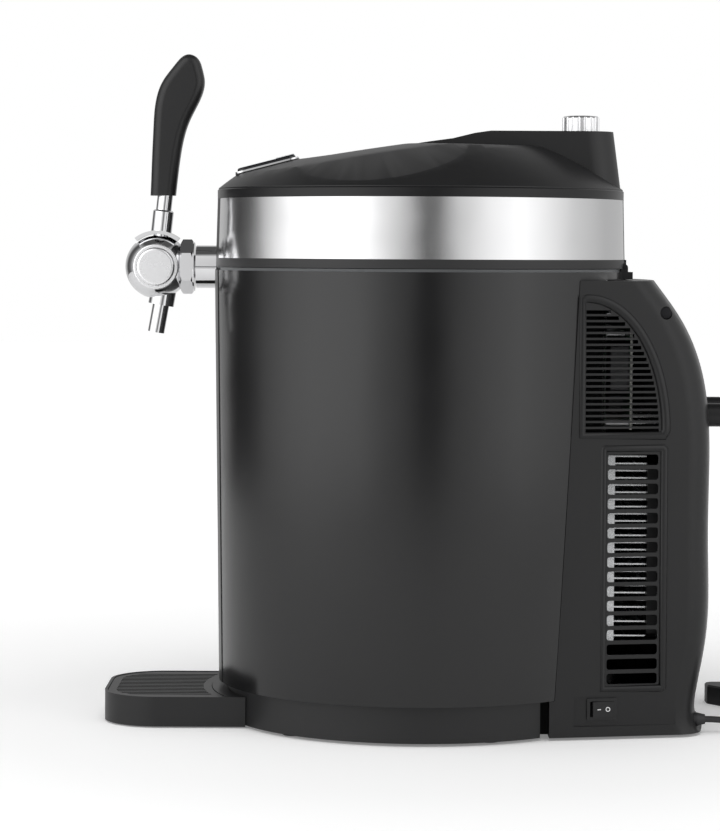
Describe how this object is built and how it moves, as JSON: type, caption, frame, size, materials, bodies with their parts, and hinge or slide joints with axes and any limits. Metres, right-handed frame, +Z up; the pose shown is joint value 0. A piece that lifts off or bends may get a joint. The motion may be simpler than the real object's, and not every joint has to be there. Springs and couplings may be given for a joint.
{
  "type": "draft beer dispenser",
  "caption": "Countertop draft beer dispenser for a small party keg: insulated drum, hinged domed lid with display and pressure knob, chrome tap, vented cooling unit at the rear.",
  "frame": {"origin": "on the floor under the axis of the round cabinet", "axes": "+Z up, -X towards the tap at the front, +X towards the cooling unit at the rear, -Y towards the side with the rocker switch"},
  "size_m": [0.5327, 0.2854, 0.4624],
  "materials": {
    "drum_plastic": "satin black",
    "trim_plastic": "fine matte black",
    "housing_plastic": "fine matte black",
    "dome_plastic": "satin black",
    "brushed_steel": "brushed around the lid",
    "chrome": "polished",
    "grip_plastic": "soft matte black",
    "switch_plastic": "gloss black",
    "liner_aluminium": "satin",
    "inner_plastic": "grey, matte",
    "foam": "cream foam",
    "rubber": "matte",
    "cord_rubber": "smooth matte",
    "aluminium": "bare",
    "ceramic": "white ceramic",
    "fan_plastic": "black",
    "circuit_board": "green lacquer",
    "steel": "zinc plated",
    "brass": "machined",
    "dark_glass": "smoked, glossy",
    "cartridge_steel": "silver",
    "hose": "grey"
  },
  "bodies": {
    "cabinet": {"drum_shell": "drum_plastic", "front_strip": "trim_plastic", "plinth": "trim_plastic", "bottom_cover": "trim_plastic", "rubber_feet": "rubber", "chamber_liner": "liner_aluminium", "top_deck": "inner_plastic", "insulation": "foam", "bulkhead": "steel", "lid_seal": "rubber", "cold_block": "aluminium", "thermo_module": "ceramic", "heat_sink": "aluminium", "fan_frame": "fan_plastic", "power_board": "circuit_board", "board_standoffs": "steel", "rear_housing": "housing_plastic", "housing_screws": "steel", "switch_bezel": "switch_plastic", "tap_body": "chrome", "tap_caps": "chrome", "tap_nut": "chrome", "tap_shank": "steel", "spout": "chrome", "lower_sleeve": "steel", "hinge_pin": "steel", "strain_relief": "cord_rubber", "cord_lead": "cord_rubber", "cord_coil": "cord_rubber", "cord_tail": "cord_rubber", "cord_tie": "trim_plastic", "mains_plug": "cord_rubber", "plug_pins": "chrome"},
    "lid": {"lid_skirt": "trim_plastic", "steel_band": "brushed_steel", "lid_rim": "trim_plastic", "lid_shell": "dome_plastic", "lid_liner": "inner_plastic", "lid_foam": "foam", "display_bezel": "chrome", "display_glass": "dark_glass", "display_board": "circuit_board", "gas_regulator": "brass", "gas_line": "hose", "upper_sleeve": "steel"},
    "gas_holder": {"cartridge_holder": "inner_plastic", "gas_cartridge": "cartridge_steel"},
    "knob": {"pressure_knob": "chrome"},
    "lever": {"tap_lever": "chrome", "tap_grip": "grip_plastic"},
    "fan": {"fan_rotor": "fan_plastic"},
    "rocker": {"switch_key": "switch_plastic"},
    "tray": {"drip_tray": "trim_plastic"},
    "grille": {"drip_grille": "trim_plastic"}
  },
  "joints": [
    {"name": "lid_hinge", "type": "hinge", "parent": "cabinet", "child": "lid", "pos_m": [0.1402, 0, 0.3159], "axis": [0, 1, 0], "range_deg": [0, 70]},
    {"name": "lever_hinge", "type": "hinge", "parent": "cabinet", "child": "lever", "pos_m": [-0.1835, 0, 0.315], "axis": [0, -1, 0], "range_deg": [0, 35]},
    {"name": "knob_turn", "type": "hinge", "parent": "lid", "child": "knob", "pos_m": [0.1115, 0, 0.41], "axis": [0, 0, 1], "range_deg": [0, 270]},
    {"name": "holder_screw", "type": "hinge", "parent": "lid", "child": "gas_holder", "pos_m": [0.05, 0, 0.38], "axis": [1, 0, 0], "continuous": true},
    {"name": "rocker_tilt", "type": "hinge", "parent": "cabinet", "child": "rocker", "pos_m": [0.12133, -0.09863, 0.0207], "axis": [0, 0, -1], "range_deg": [0, 14]},
    {"name": "fan_spin", "type": "hinge", "parent": "cabinet", "child": "fan", "pos_m": [0.17, 0, 0.1235], "axis": [1, 0, 0], "continuous": true},
    {"name": "tray_slide", "type": "slide", "parent": "cabinet", "child": "tray", "axis": [-1, 0, 0], "range_m": [0, 0.06]},
    {"name": "grille_lift", "type": "slide", "parent": "tray", "child": "grille", "axis": [0, 0, 1], "range_m": [0, 0.03]}
  ]
}
